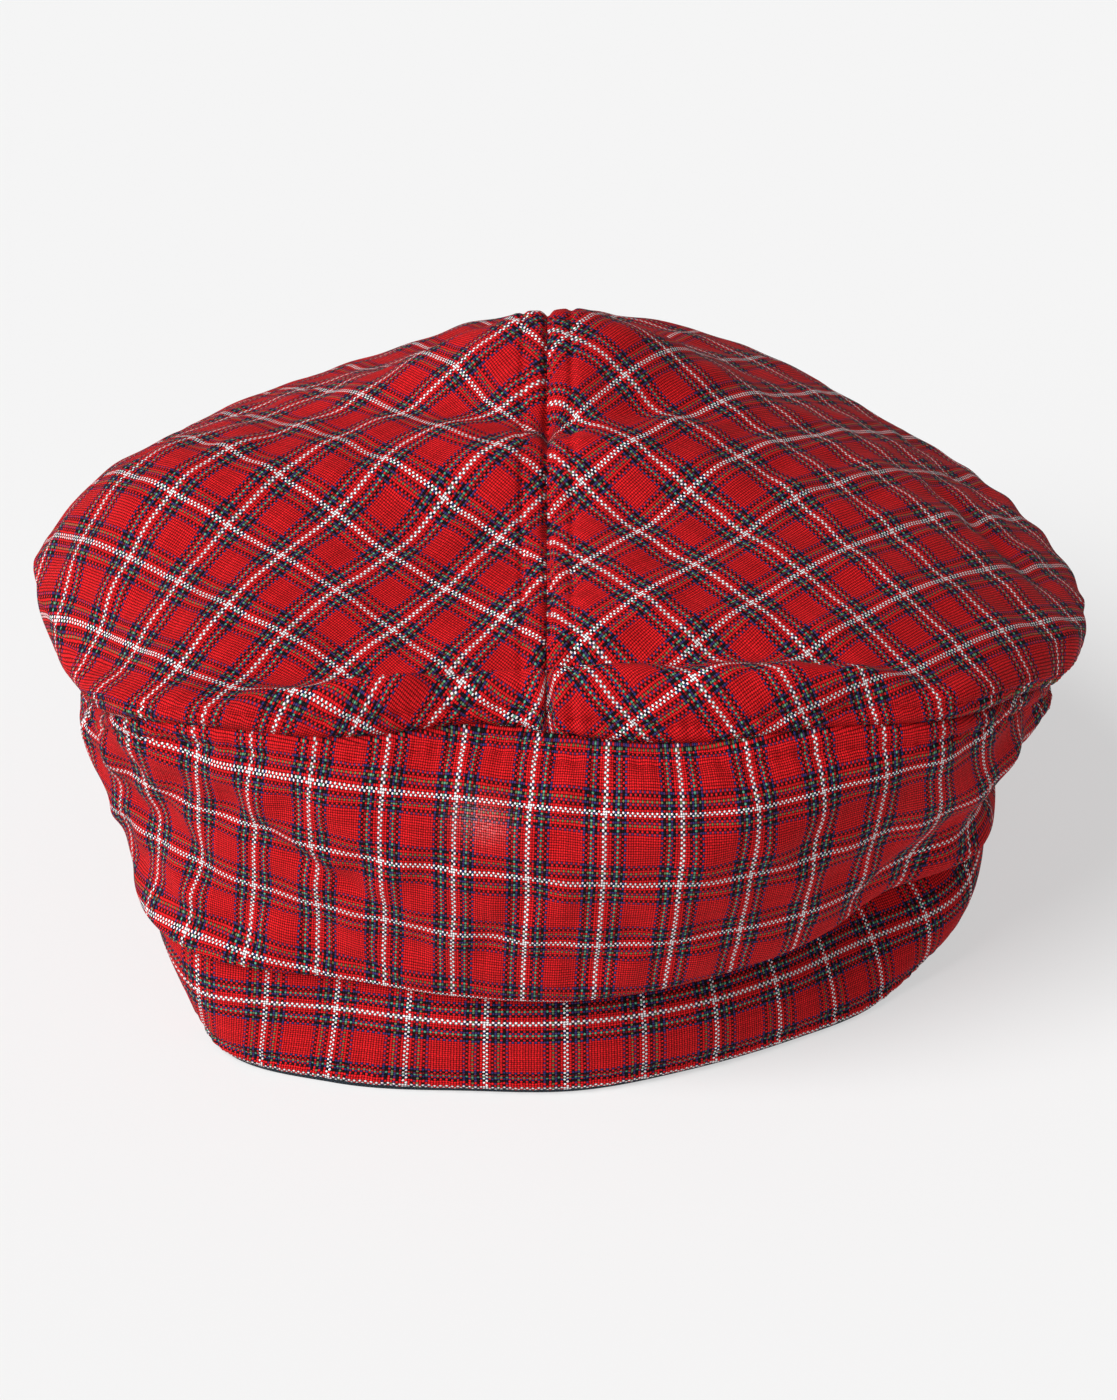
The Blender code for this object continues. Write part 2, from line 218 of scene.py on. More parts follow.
# Creases of the side wall: angle, height, half width in degrees, half height,
# lean in degrees per millimetre and depth outward.
CREASES = dict(
    angle=[-76, -71, -66, -60, -70, -62, -52, -44, 66, 72, 78, 50],
    z=[70, 72, 76, 80, 50, 46, 44, 42, 60, 62, 58, 48],
    width=[1.6, 1.6, 1.8, 2.0, 2.2, 2.2, 2.4, 2.6, 2.0, 2.2, 2.0, 2.6],
    half=[12, 12, 11, 10, 8, 8, 7, 7, 11, 11, 10, 9],
    slope=[-0.25, -0.25, -0.3, -0.3, 0.5, 0.5, 0.6, 0.7, 0.3, 0.3, 0.35, 0.5],
    depth=[1.0, -1.0, 1.0, -0.9, 1.1, -1.1, 1.2, -1.1, 1.0, -1.0, 0.9, -1.0],
)
EDGE_ROLL = 0.5        # how far the band's lower edge rolls in
EDGE_WIDTH = 0.9
JOIN_ANGLE = 0.01      # half the gap at the join at the back, in degrees

THREAD_ROUND = 2.2     # how far a thread's sides fall, in wave heights
WARP_FACED = 0.85      # how much higher the warp lies than the weft
THREAD_DRIFT = 0.5     # how far the threads wander, in threads
DRIFT_SCALES = (0.22, 0.31)
DRIFT_DETAIL = 3.0
THREAD_HEIGHT = 0.12
THREAD_BUMP = 0.8
GAP_SHADE = (0.0, 0.9, 0.12, 1.15)  # a thread's own height, from and to, and its shade there
UNEVEN = 0.4           # spread of the threads' shades
BROAD = 0.2            # spread of the shade from place to place
BROAD_SCALE = 0.05
CLOTH_ROUGH = 0.82
CLOTH_SPECULAR = 0.08
CLOTH_SHEEN = 0.01
SHEEN_ROUGH = 0.5
FACING_PITCH = 0.5
FACING_HEIGHT = 0.1
FACING_BUMP = 0.6
FACING_ROUGH = 0.8
# Worn place on the wall: middle and reach among the threads, most and colour of the wear.
WORN_PLACE = ((-12.4, -6.0), (6.5, 5.0))
WORN_MOST = 0.75
WORN_SPECKLE = (1.6, 0.35, 2.0)  # scale of its speckle, where that starts, and its gain
WORN_COLOUR = (0.80, 0.42, 0.42, 1.0)
FACING_COLOUR = (0.02, 0.045, 0.075)

RED = (0.65, 0.0095, 0.0135)
DEEP_RED = (0.16, 0.005, 0.008)
WHITE = (0.86, 0.78, 0.79)
BLACK = (0.008, 0.005, 0.008)
NIGHT_BLUE = (0.025, 0.03, 0.14)
TEAL = (0.09, 0.32, 0.21)
PURPLE = (0.07, 0.022, 0.10)
LIME = (0.12, 0.15, 0.06)
WARP_COLOURS = (WHITE, RED, RED, BLACK, NIGHT_BLUE, TEAL, DEEP_RED, BLACK, NIGHT_BLUE, RED)
WEFT_COLOURS = (WHITE, RED, BLACK, PURPLE, LIME, RED, BLACK, PURPLE, RED)

CAMERA_PLACE = (0.0, -1029.0, 712.0)
CAMERA_DOWN = 30.0
CAMERA_LENS = 123.43
CAMERA_SENSOR = 36.0
FLOOR_SIDE = 60.0      # metres
FLOOR_COLOUR = (0.35, 0.35, 0.35)
FLOOR_ROUGH = 0.6
FLOOR_GLOW = 0.54      # the table is lit a little from beneath
WORLD_COLOUR = (1.0, 1.0, 1.0)
WORLD_STRENGTH = 0.22
# Lights: direction they come from, spread in degrees and strength.
KEY_LIGHT = ((-0.55, -0.40, 0.73), 40.0, 3.2)
SIDE_LIGHT = ((-0.88, -0.41, 0.22), 50.0, 1.3)

# ---------------------------------------------------------------- surfaces


def rows_of(table, *names):
    """Rows of a table, read across the named columns."""
    return zip(*(table[name] for name in names))


def around(table, name, phi):
    """Column of a section table read at the angles phi, smooth and closed."""
    angle = np.array(ANGLES, float)
    value = np.array(table[name], float)
    angle = np.concatenate([angle[-2:] - 360.0, angle, angle[:3] + 360.0])
    value = np.concatenate([value[-2:], value, value[:3]])
    turned = (np.asarray(phi, float) + 180.0) % 360.0 - 180.0
    k = np.clip(np.searchsorted(angle, turned, side="right") - 1, 1, len(angle) - 3)
    step = np.diff(angle)
    rise = np.diff(value) / step
    slope = (rise[:-1] * step[1:] + rise[1:] * step[:-1]) / (step[1:] + step[:-1])
    span = step[k]
    t = (turned - angle[k]) / span
    return hermite(value[k], value[k + 1], slope[k - 1] * span, slope[k] * span, t)


def hermite(start, end, leave, arrive, t):
    """Cubic from start to end with the given end slopes."""
    first = (2 * t**3 - 3 * t**2 + 1) * start + (t**3 - 2 * t**2 + t) * leave
    return first + (3 * t**2 - 2 * t**3) * end + (t**3 - t**2) * arrive


def smooth_rows(rows, counts):
    """Curve through the rows of (radius, height); counts gives the steps in each span."""
    last = len(rows) - 1
    chord = [np.sqrt(np.linalg.norm(rows[k + 1] - rows[k], axis=-1, keepdims=True) + SHORTEST)
             for k in range(last)]
    slopes = [None] * (last + 1)
    for k in range(1, last):
        before = (rows[k] - rows[k - 1]) / chord[k - 1]
        after = (rows[k + 1] - rows[k]) / chord[k]
        across = (rows[k + 1] - rows[k - 1]) / (chord[k - 1] + chord[k])
        slopes[k] = before - across + after
    curve = []
    for k in range(last):
        straight = rows[k + 1] - rows[k]
        leave = straight if k == 0 else slopes[k] * chord[k]
        arrive = straight if k == last - 1 else slopes[k + 1] * chord[k]
        for step in range(counts[k]):
            curve.append(hermite(rows[k], rows[k + 1], leave, arrive, step / counts[k]))
    curve.append(rows[last])
    return np.stack(curve, axis=1)


def place(phi, curve):
    """Turn (radius, height) rows about the axis."""
    sine = np.sin(np.radians(phi))[:, None]
    cosine = np.cos(np.radians(phi))[:, None]
    across = AXIS_X + curve[..., 0] * sine
    along = AXIS_Y - curve[..., 0] * cosine
    return np.stack([across, along, curve[..., 1]], axis=-1)


def pair(table, radius, height, phi):
    """One row of (radius, height) at the angles phi."""
    return np.stack([around(table, radius, phi), around(table, height, phi)], axis=-1)


def fold_height(x, y):
    """Height added to the crown top by its rises and hollows."""
    height = np.zeros_like(x)
    rows = rows_of(CROWN_FOLDS, "x", "y", "length", "width", "turn", "height")
    for fold_x, fold_y, length, width, turn, rise in rows:
        cosine = np.cos(np.radians(turn))
        sine = np.sin(np.radians(turn))
        along = (x - fold_x) * cosine + (y - fold_y) * sine
        across = (y - fold_y) * cosine - (x - fold_x) * sine
        height += rise * np.exp(-(along / length) ** 2 - (across / width) ** 2)
    return height


def crown_top(phi, rim, share):
    """Row of the crown top at a share of the rim radius.

    Its rise or fall grows with the third and fifth powers of the share, so the
    cloth stays smooth at the middle."""
    radius = rim[:, 0] * share
    edge = rim[:, 1] - CENTRE_Z
    middle = around(CROWN_TABLE, "mid_z", phi) - CENTRE_Z
    third = (middle - edge * CROWN_MIDDLE**5) / (CROWN_MIDDLE**3 - CROWN_MIDDLE**5)
    fifth = edge - third
    x = AXIS_X + radius * np.sin(np.radians(phi))
    y = AXIS_Y - radius * np.cos(np.radians(phi))
    calm = np.clip((1.0 - share) / RIM_CALM, 0.0, 1.0)
    height = CENTRE_Z + third * share**3 + fifth * share**5
    return np.stack([radius, height + fold_height(x, y) * calm], axis=-1)


def crown_surface(phi):
    """Crown from the seam over the rim to the middle."""
    seam = pair(WALL_TABLE, "seam", "seam_z", phi) + np.array([0.0, SEAM_GAP])
    lip = pair(CROWN_TABLE, "lip", "lip_z", phi)
    rim = pair(CROWN_TABLE, "rim", "rim_z", phi)
    to_lip, to_rim, to_middle = CROWN_SPANS
    over = crown_top(phi, rim, OVER_RIM)
    edge = smooth_rows([seam, lip, rim, over], [to_lip, to_rim, OVER_STEPS])[:, :to_lip + to_rim]
    shares = np.linspace(1.0, 0.0, to_middle + 1)
    top = np.stack([crown_top(phi, rim, share) for share in shares], axis=1)
    return place(phi, np.concatenate([edge, top], axis=1))


def wall_folds(phi, z):
    """Depth added outward to the side wall, fading to nothing at its two edges."""
    depth = np.zeros_like(z)
    rows = rows_of(WALL_FOLDS, "angle", "z", "width", "half", "slope", "depth")
    for angle, middle, width, half, slope, out in rows:
        turned = ((phi - angle + 180.0) % 360.0 - 180.0)[:, None]
        depth += out * np.exp(-(turned / width) ** 2 - ((z - middle - slope * turned) / half) ** 2)
    share = np.linspace(0.0, 1.0, z.shape[1])
    calm = np.clip(np.minimum(share, 1.0 - share) / WALL_CALM, 0.0, 1.0)
    return depth * calm


def wall_surface(phi):
    """Side wall from the seam down to the hidden edge behind its lower fold."""
    seam = pair(WALL_TABLE, "seam", "seam_z", phi) - np.array([0.0, SEAM_GAP])
    high = pair(WALL_TABLE, "high", "high_z", phi)
    low = pair(WALL_TABLE, "low", "low_z", phi)
    fold = pair(WALL_TABLE, "fold", "fold_z", phi)
    inward = around(BAND_TABLE, "top", phi) + TUCK
    tuck = np.stack([inward, band_lift(phi) + BAND_HEIGHT + TUCK_RISE], axis=-1)
    curve = smooth_rows([seam, high, low, fold, tuck], WALL_SPANS)
    curve[..., 0] += wall_folds(phi, curve[..., 1])
    return place(phi, curve)


def band_lift(phi):
    """Height of the band's lower edge, which never dips below the floor."""
    return np.maximum(around(BAND_TABLE, "lift", phi), 0.0)


def band_surface(phi, heights):
    """Band rows at the given heights, read between its top, middle and foot."""
    lift = band_lift(phi)
    known = (("top", BAND_HEIGHT), ("mid", BAND_MIDDLE), ("foot", 0.0))
    rows = []
    for height in heights:
        radius = np.zeros_like(lift)
        for name, own in known:
            weight = 1.0
            for other_name, other in known:
                if other_name != name:
                    weight *= (height - other) / (own - other)
            radius += weight * around(BAND_TABLE, name, phi)
        rows.append(np.stack([radius, lift + height], axis=-1))
    return place(phi, np.stack(rows, axis=1))


def surface_normals(grid):
    """Outward normals of a grid of points (sections, rows)."""
    along = np.gradient(grid, axis=0)
    down = np.gradient(grid, axis=1)
    normal = np.cross(along, down)
    length = np.linalg.norm(normal, axis=-1, keepdims=True)
    normal = normal / np.maximum(length, TINY)
    outward = grid - np.array([AXIS_X, AXIS_Y, HOLLOW_Z])
    if np.sum(normal * outward) < 0.0:
        normal = -normal
    return normal


def level(normal):
    """Normals laid flat, so a seam edge is cut level."""
    flat = normal * np.array([1.0, 1.0, 0.0])
    return flat / np.linalg.norm(flat, axis=-1, keepdims=True)


# ---------------------------------------------------------------- run of the threads


def net_links(sections, rows):
    """Pairs of net points that keep their distance, and how firmly."""
    index = np.arange(sections * rows).reshape(sections, rows)
    links = []
    for across, down, firm in NET_LINKS:
        first = index[:sections - across, max(0, -down):rows - max(0, down)]
        second = index[across:, max(0, down):rows + min(0, down)]
        links.append((first.ravel(), second.ravel(), np.full(first.size, firm)))
    return [np.concatenate(part) for part in zip(*links)]


def lay_flat(points, flat, rounds):
    """Flat positions of a net of points that keep its lengths as well as they can."""
    sections, rows = points.shape[:2]
    first, second, firm = net_links(sections, rows)
    solid = points.reshape(-1, 3)
    length = np.linalg.norm(solid[second] - solid[first], axis=1)
    keep = length > SHORTEST
    first, second, firm, length = first[keep], second[keep], firm[keep], length[keep]
    flat = flat.reshape(-1, 2).copy()
    count = len(flat)
    load = np.maximum(np.bincount(first, firm, count) + np.bincount(second, firm, count), TINY)
    speed = np.zeros_like(flat)
    for _ in range(rounds):
        reach = flat[second] - flat[first]
        now = np.sqrt((reach**2).sum(axis=1)) + TINY
        pull = (firm * (now - length) / now)[:, None] * reach
        force = np.stack([np.bincount(first, pull[:, k], count) - np.bincount(second, pull[:, k], count)
                          for k in (0, 1)], axis=-1) / load[:, None]
        speed = SETTLE_KEEP * speed + SETTLE_PULL * force
        flat = flat + speed
    return flat.reshape(sections, rows, 2)


def finer(coarse, steps, axis):
    """Smooth reading of a net between its points, steps to each span of one axis."""
    coarse = np.moveaxis(coarse, axis, 0)
    start = 2 * coarse[:1] - coarse[1:2]
    end = 2 * coarse[-1:] - coarse[-2:-1]
    padded = np.concatenate([start, coarse, end])
    slope = (padded[2:] - padded[:-2]) / 2
    fine = []
    for k in range(len(coarse) - 1):
        for step in range(steps):
            fine.append(hermite(coarse[k], coarse[k + 1], slope[k], slope[k + 1], step / steps))
    fine.append(coarse[-1])
    return np.moveaxis(np.stack(fine), 0, axis)


def lengths_down(points):
    """Length along each section from its first row."""
    step = np.linalg.norm(np.diff(points, axis=1), axis=-1)
    return np.concatenate([np.zeros((len(points), 1)), np.cumsum(step, axis=1)], axis=1)


def crown_flat(phi, fine):
    """Flat run of a crown half: across, and from the middle toward the back."""
    net = fine[::CROWN_NET, ::NET]
    out = lengths_down(net[:, ::-1])[:, ::-1]
    turn = np.radians(phi[::CROWN_NET])[:, None]
    start = np.stack([out * np.sin(turn), -out * np.cos(turn)], axis=-1)
    return finer(finer(lay_flat(net, start, CROWN_ROUNDS), CROWN_NET, 0), NET, 1)


def gathered(phi, flat):
    """Flat run of a crown half with the cloth that lies gathered behind its crest."""
    to_lip, to_rim, to_middle = CROWN_SPANS
    share = np.concatenate([np.ones(to_lip + to_rim), np.linspace(1.0, 0.0, to_middle + 1)])
    fade = np.clip((share - TUCK_END) / (TUCK_START - TUCK_END), 0.0, 1.0)
    fade = fade**2 * (3.0 - 2.0 * fade)
    aside = np.interp(phi, CREST_TUCK["angle"], CREST_TUCK["aside"])
    outward = np.interp(phi, CREST_TUCK["angle"], CREST_TUCK["outward"])
    return flat + np.stack([aside, -outward], axis=-1)[:, None] * fade[None, :, None]


def wall_flat(fine):
    """Flat run of the side wall, cut open at the back: along the wall and up it."""
    net = fine[::WALL_NET, ::NET]
    down = lengths_down(net)
    step = np.linalg.norm(np.diff(net, axis=0), axis=-1)
    middle = net.shape[1] // 2
    spread = (step[:, 0] - step[:, -2]) / np.maximum(down[:-1, -2], SHORTEST)
    heading = np.concatenate([[0.0], np.cumsum(spread)])
    front = len(net) // 2
    heading = -(heading - heading[front])
    along = np.stack([np.cos(heading), np.sin(heading)], axis=-1)
    walk = (along[:-1] + along[1:]) / 2 * step[:, middle][:, None]
    spine = np.concatenate([np.zeros((1, 2)), np.cumsum(walk, axis=0)])
    spine -= spine[front]
    up = np.stack([-np.sin(heading), np.cos(heading)], axis=-1)
    rise = down[:, middle][:, None] - down
    start = spine[:, None] + up[:, None] * rise[..., None]
    return finer(finer(lay_flat(net, start, WALL_ROUNDS), WALL_NET, 0), NET, 1)


def lay_threads(flat, degrees, shift, stretch, pulls):
    """Flat run turned, stretched and drawn aside, so that it reads (across the warp, along it)."""
    cosine = math.cos(math.radians(degrees))
    sine = math.sin(math.radians(degrees))
    across = (flat[..., 0] * cosine + flat[..., 1] * sine) * stretch[0] + shift[0]
    along = (flat[..., 1] * cosine - flat[..., 0] * sine) * stretch[1] + shift[1]
    for x, y, aside, ahead, reach in rows_of(pulls, "x", "y", "across", "along", "reach"):
        near = np.exp(-((flat[..., 0] - x) ** 2 + (flat[..., 1] - y) ** 2) / reach**2)
        across = across + aside * near
        along = along + ahead * near
    return np.stack([across, along], axis=-1)


# ---------------------------------------------------------------- pieces


def frame_shift():
    """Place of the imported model's origin among the tables' coordinates."""
    ring = np.arange(SOLID_TURN) * 360.0 / SOLID_TURN - 180.0
    face = band_surface(ring, SOLID_ROWS).reshape(-1, 3)
    low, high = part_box("band")
    return np.array([(face[:, 0].min() + face[:, 0].max()) / 2 - (low[0] + high[0]) / 2 / MM,
                     (face[:, 1].min() + face[:, 1].max()) / 2 - (low[1] + high[1]) / 2 / MM,
                     0.0])


def add_shell(name, outer, inner, flat, material):
    """Closed shell from two open grids, with the run of its threads as a UV map."""
    sections, rows = outer.shape[:2]
    shift = sections * rows
    points = (np.concatenate([outer.reshape(-1, 3), inner.reshape(-1, 3)]) - ORIGIN) * MM
    index = np.arange(shift).reshape(sections, rows)
    near, next_near = index[:-1, :-1], index[1:, :-1]
    faces = [np.stack([near, near + 1, next_near + 1, next_near], axis=-1).reshape(-1, 4),
             np.stack([near, next_near, next_near + 1, near + 1], axis=-1).reshape(-1, 4) + shift]
    for edge, flip in ((index[:, 0], False), (index[:, -1], True), (index[0], True), (index[-1], False)):
        cut = np.stack([edge[:-1], edge[1:], edge[1:] + shift, edge[:-1] + shift], axis=-1)
        faces.append(cut[:, ::-1] if flip else cut)
    both = np.concatenate([flat.reshape(-1, 2)] * 2)
    return add_mesh(name, points, np.concatenate(faces), both, material)


def add_mesh(name, points, faces, flat, material):
    """Smooth object from arrays of points, faces and the flat run at each point."""
    mesh = bpy.data.meshes.new(name)
    mesh.from_pydata(points.tolist(), [], faces.tolist())
    layer = mesh.uv_layers.new(name="threads")
    corners = np.zeros(len(mesh.loops), dtype=np.int32)
    mesh.loops.foreach_get("vertex_index", corners)
    layer.data.foreach_set("uv", flat[corners].astype(np.float32).ravel())
    mesh.polygons.foreach_set("use_smooth", np.ones(len(mesh.polygons), dtype=bool))
    mesh.materials.append(material)
    weld(mesh)
    piece = bpy.data.objects.new(name, mesh)
    bpy.context.scene.collection.objects.link(piece)
    return piece


def weld(mesh):
    """Join the points that meet at the middle of the crown and face all outward."""
    form = bmesh.new()
    form.from_mesh(mesh)
    bmesh.ops.remove_doubles(form, verts=form.verts, dist=WELD * MM)
    bmesh.ops.recalc_face_normals(form, faces=form.faces)
    form.to_mesh(mesh)
    form.free()


def crown_piece(name, side, material):
    """Half of the crown; side is +1 for the right half and -1 for the left."""
    phi = side * np.linspace(0.0, 180.0, CROWN_TURN + 1)
    face = crown_surface(phi)
    normal = surface_normals(face)
    middle = normal[:, -2].mean(axis=0)
    normal[:, -1] = middle / np.linalg.norm(middle)
    for end in (0, -1):
        normal[end, :, 0] = 0.0
        normal[end] /= np.linalg.norm(normal[end], axis=-1, keepdims=True)
    normal[:, 0] = level(normal[:, 0])
    flat = crown_flat(phi, face)
    flat[:, -1] = flat[:, -1].mean(axis=0)
    threads = lay_threads(gathered(phi, flat), *CROWN_THREADS[side], CROWN_PULLS[side])
    shift = np.array([side * SEAM_GAP, 0.0, 0.0])
    outer = face + normal * crown_relief(face)[..., None] + shift
    piece = add_shell(name, outer, outer - CLOTH * normal, threads, material)
    return finish_piece(piece, name.replace("_cloth", ""))


def crown_relief(face):
    """Seam grooves, stitched ditches and puckers of a crown half, outward."""
    aside = np.abs(face[..., 0] - AXIS_X)
    run = lengths_down(face)
    along = face[..., 1] + face[..., 2]
    relief = groove(aside, SEAM_DEPTH, SEAM_WIDTH) * (1.0 - np.exp(-(run / SEAM_CALM) ** 2))
    relief += stitched(aside, CROWN_STITCH, along)
    relief += groove(run, EDGE_DEPTH, SEAM_WIDTH)
    relief += stitched(run, RIM_STITCH, face[..., 0] * RIM_LEAN + face[..., 1])
    return relief + CROWN_LUMPS * lumps(face) * (1.0 - np.exp(-(run / LUMP_CALM) ** 2))


def groove(distance, depth, width):
    """Cloth rolling down into a seam."""
    return -depth * np.exp(-(distance / width) ** 2)


def lumps(face):
    """Small unevenness of soft cloth, as the sum of a few slow waves."""
    height = np.zeros(face.shape[:2])
    for across, along, up, start, rise in rows_of(LUMPS, "across", "along", "up", "start", "rise"):
        height += rise * np.sin(across * face[..., 0] + along * face[..., 1] + up * face[..., 2] + start)
    return height


def creases(phi, z):
    """Small pleats and creases of the side wall."""
    depth = np.zeros_like(z)
    rows = rows_of(CREASES, "angle", "z", "width", "half", "slope", "depth")
    for angle, middle, width, half, slope, out in rows:
        turned = phi[:, None] - angle - slope * (z - middle)
        depth += out * np.exp(-(turned / width) ** 2 - ((z - middle) / half) ** 2)
    return depth


def stitched(distance, row, along):
    """Ditch of a stitched row with the small puckers beside it."""
    off = distance - row
    ditch = -DITCH_DEPTH * np.exp(-(off / DITCH_WIDTH) ** 2)
    wander = sum(rise * np.sin(along * turn + start)
                 for rise, turn, start in rows_of(WANDER, "rise", "turn", "start"))
    pucker = np.sin(2.0 * math.pi * along / PUCKER_PITCH + wander)
    return ditch + PUCKER_DEPTH * pucker * np.exp(-np.abs(off) / PUCKER_REACH)


def wall_piece(name, material):
    """Side wall, joined at the back."""
    phi = np.linspace(-180.0 + JOIN_ANGLE, 180.0 - JOIN_ANGLE, WALL_TURN + 1)
    face = wall_surface(phi)
    normal = surface_normals(face)
    flat = wall_flat(face)
    threads = lay_threads(flat, *WALL_THREADS, WALL_PULLS)
    run = lengths_down(face)
    along = np.cumsum(np.linalg.norm(np.diff(face[:, :1], axis=0), axis=-1), axis=0)
    along = np.concatenate([np.zeros((1, 1)), along]) + run * 0.0
    relief = groove(run, EDGE_DEPTH, SEAM_WIDTH)
    relief += stitched(run, WALL_STITCH, along)
    behind = np.minimum(along, along[-1:] - along)
    left = run[:, -1 - WALL_SPANS[-1]][:, None] - run
    calm = (1.0 - np.exp(-(run / LUMP_CALM) ** 2)) * np.clip(left / LUMP_CALM, 0.0, 1.0)
    relief += (groove(behind, EDGE_DEPTH, SEAM_WIDTH) + lumps(face) + creases(phi, face[..., 2])) * calm
    for row in (0, -1):
        normal[:, row] = level(normal[:, row])
    outer = face + normal * relief[..., None]
    piece = add_shell(name, outer, outer - CLOTH * normal, threads, material)
    return finish_piece(piece, "side_wall")


def band_piece(name, material):
    """Band, joined at the back and stitched near its lower edge."""
    phi = np.linspace(-180.0 + JOIN_ANGLE, 180.0 - JOIN_ANGLE, BAND_TURN + 1)
    heights = np.linspace(BAND_TOP_ROW, BAND_RAISE, BAND_STEPS + 1)
    face = band_surface(phi, heights)
    normal = level(surface_normals(face))
    along = np.cumsum(np.linalg.norm(np.diff(face[:, BAND_STEPS // 2], axis=0), axis=-1))
    along = np.concatenate([[0.0], along])
    along = along[:, None] - along[len(along) // 2] + 0.0 * face[..., 2]
    up = heights[None, :] + 0.0 * along
    threads = lay_threads(np.stack([up, along], axis=-1), *BAND_THREADS, BAND_PULLS)
    relief = stitched(up, BAND_STITCH, along)
    relief -= EDGE_ROLL * np.exp(-((up - BAND_RAISE) / EDGE_WIDTH) ** 2)
    outer = face + normal * np.maximum(relief, -BAND_DENT)[..., None]
    piece = add_shell(name, outer, face - CLOTH * normal, threads, material)
    return finish_piece(piece, "band")


def facing_piece(name, material):
    """Dark facing inside the band, down to the floor."""
    phi = np.linspace(-180.0 + JOIN_ANGLE, 180.0 - JOIN_ANGLE, BAND_TURN + 1)
    heights = np.linspace(FACING_TOP, 0.0, FACING_STEPS + 1)
    face = band_surface(phi, heights)
    normal = level(surface_normals(face))
    outer = face - (CLOTH + LAYER_GAP) * normal
    along = np.cumsum(np.linalg.norm(np.diff(face[:, 0], axis=0), axis=-1))
    along = np.concatenate([[0.0], along])[:, None] + 0.0 * face[..., 2]
    threads = np.stack([heights[None, :] + 0.0 * along, along], axis=-1)
    piece = add_shell(name, outer, outer - FACING * normal, threads, material)
    return finish_piece(piece, "facing")


def finish_piece(piece, node):
    """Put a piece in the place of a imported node."""
    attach(piece, "root")
    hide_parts(node)
    return piece


# ---------------------------------------------------------------- materials


class Nodes:
    """Short way to write a material's nodes."""

    def __init__(self, material):
        self.tree = material.node_tree

    def add(self, kind, **settings):
        node = self.tree.nodes.new(kind)
        for name, value in settings.items():
            setattr(node, name, value)
        return node

    def link(self, source, socket):
        self.tree.links.new(source, socket)

    def feed(self, socket, value):
        if isinstance(value, bpy.types.NodeSocket):
            self.link(value, socket)
        else:
            socket.default_value = value

    def calc(self, operation, *values):
        node = self.add("ShaderNodeMath", operation=operation)
        for socket, value in zip(node.inputs, values):
            self.feed(socket, value)
        return node.outputs[0]

    def mix(self, kind, factor, first, second):
        node = self.add("ShaderNodeMix", data_type="RGBA", blend_type=kind)
        self.feed(node.inputs[0], factor)
        self.feed(node.inputs[6], first)
        self.feed(node.inputs[7], second)
        return node.outputs[2]

    def noise(self, vector, scale, detail=2.0):
        node = self.add("ShaderNodeTexNoise", noise_dimensions="3D")
        self.link(vector, node.inputs["Vector"])
        node.inputs["Scale"].default_value = scale
        node.inputs["Detail"].default_value = detail
        return node.outputs["Fac"]

    def stripes(self, place, half, colours):
        """Colour of the thread at a place counted in threads; the order mirrors."""
        near = self.calc("DIVIDE", self.calc("PINGPONG", place, float(half)), float(half))
        ramp = self.add("ShaderNodeValToRGB")
        ramp.color_ramp.interpolation = "CONSTANT"
        elements = ramp.color_ramp.elements
        elements.remove(elements[1])
        for thread, colour in enumerate(colours):
            element = elements[0] if thread == 0 else elements.new(thread / half)
            element.position = thread / half
            element.color = (*colour, 1.0)
        self.link(near, ramp.inputs["Fac"])
        return ramp.outputs["Color"]

    def gap_shade(self, height):
        """Shade of a thread at its own height, dark down in the gaps."""
        shade = self.add("ShaderNodeMapRange")
        self.link(height, shade.inputs["Value"])
        for socket, value in zip(("From Min", "From Max", "To Min", "To Max"), GAP_SHADE):
            shade.inputs[socket].default_value = value
        return shade.outputs[0]

    def finish(self, shader, colour, light, height, strength, depth):
        """Send the shaded colour and the bump of the threads to the shader."""
        grey = self.add("ShaderNodeCombineColor")
        for socket in grey.inputs[:3]:
            self.link(light, socket)
        self.link(self.mix("MULTIPLY", 1.0, colour, grey.outputs[0]), shader.inputs["Base Color"])
        bump = self.add("ShaderNodeBump")
        bump.inputs["Strength"].default_value = strength
        bump.inputs["Distance"].default_value = depth * MM
        self.link(height, bump.inputs["Height"])
        self.link(bump.outputs["Normal"], shader.inputs["Normal"])


def new_material(name):
    """Material with an empty tree but for its shader and output."""
    material = bpy.data.materials.new(name)
    material.use_nodes = True
    return material, material.node_tree.nodes["Principled BSDF"]


def woven(nodes, across, along):
    """Warp and weft heights of a plain weave at places counted in threads."""
    warp_number = nodes.calc("FLOOR", across)
    weft_number = nodes.calc("FLOOR", along)
    warp_sign = nodes.calc("SINE", nodes.calc("MULTIPLY", nodes.calc("ADD", warp_number, 0.5), math.pi))
    weft_sign = nodes.calc("SINE", nodes.calc("MULTIPLY", nodes.calc("ADD", weft_number, 0.5), math.pi))
    warp_wave = nodes.calc("SINE", nodes.calc("MULTIPLY", along, math.pi))
    weft_wave = nodes.calc("SINE", nodes.calc("MULTIPLY", across, math.pi))
    warp_off = nodes.calc("SUBTRACT", nodes.calc("SUBTRACT", across, warp_number), 0.5)
    weft_off = nodes.calc("SUBTRACT", nodes.calc("SUBTRACT", along, weft_number), 0.5)
    warp_round = nodes.calc("MULTIPLY", nodes.calc("MULTIPLY", warp_off, warp_off), THREAD_ROUND)
    weft_round = nodes.calc("MULTIPLY", nodes.calc("MULTIPLY", weft_off, weft_off), THREAD_ROUND)
    warp = nodes.calc("SUBTRACT", nodes.calc("MULTIPLY", warp_sign, warp_wave), warp_round)
    weft = nodes.calc("SUBTRACT", nodes.calc("MULTIPLY", nodes.calc("MULTIPLY", weft_sign, weft_wave), -1.0),
                      weft_round)
    return warp, nodes.calc("SUBTRACT", weft, WARP_FACED), warp_number, weft_number


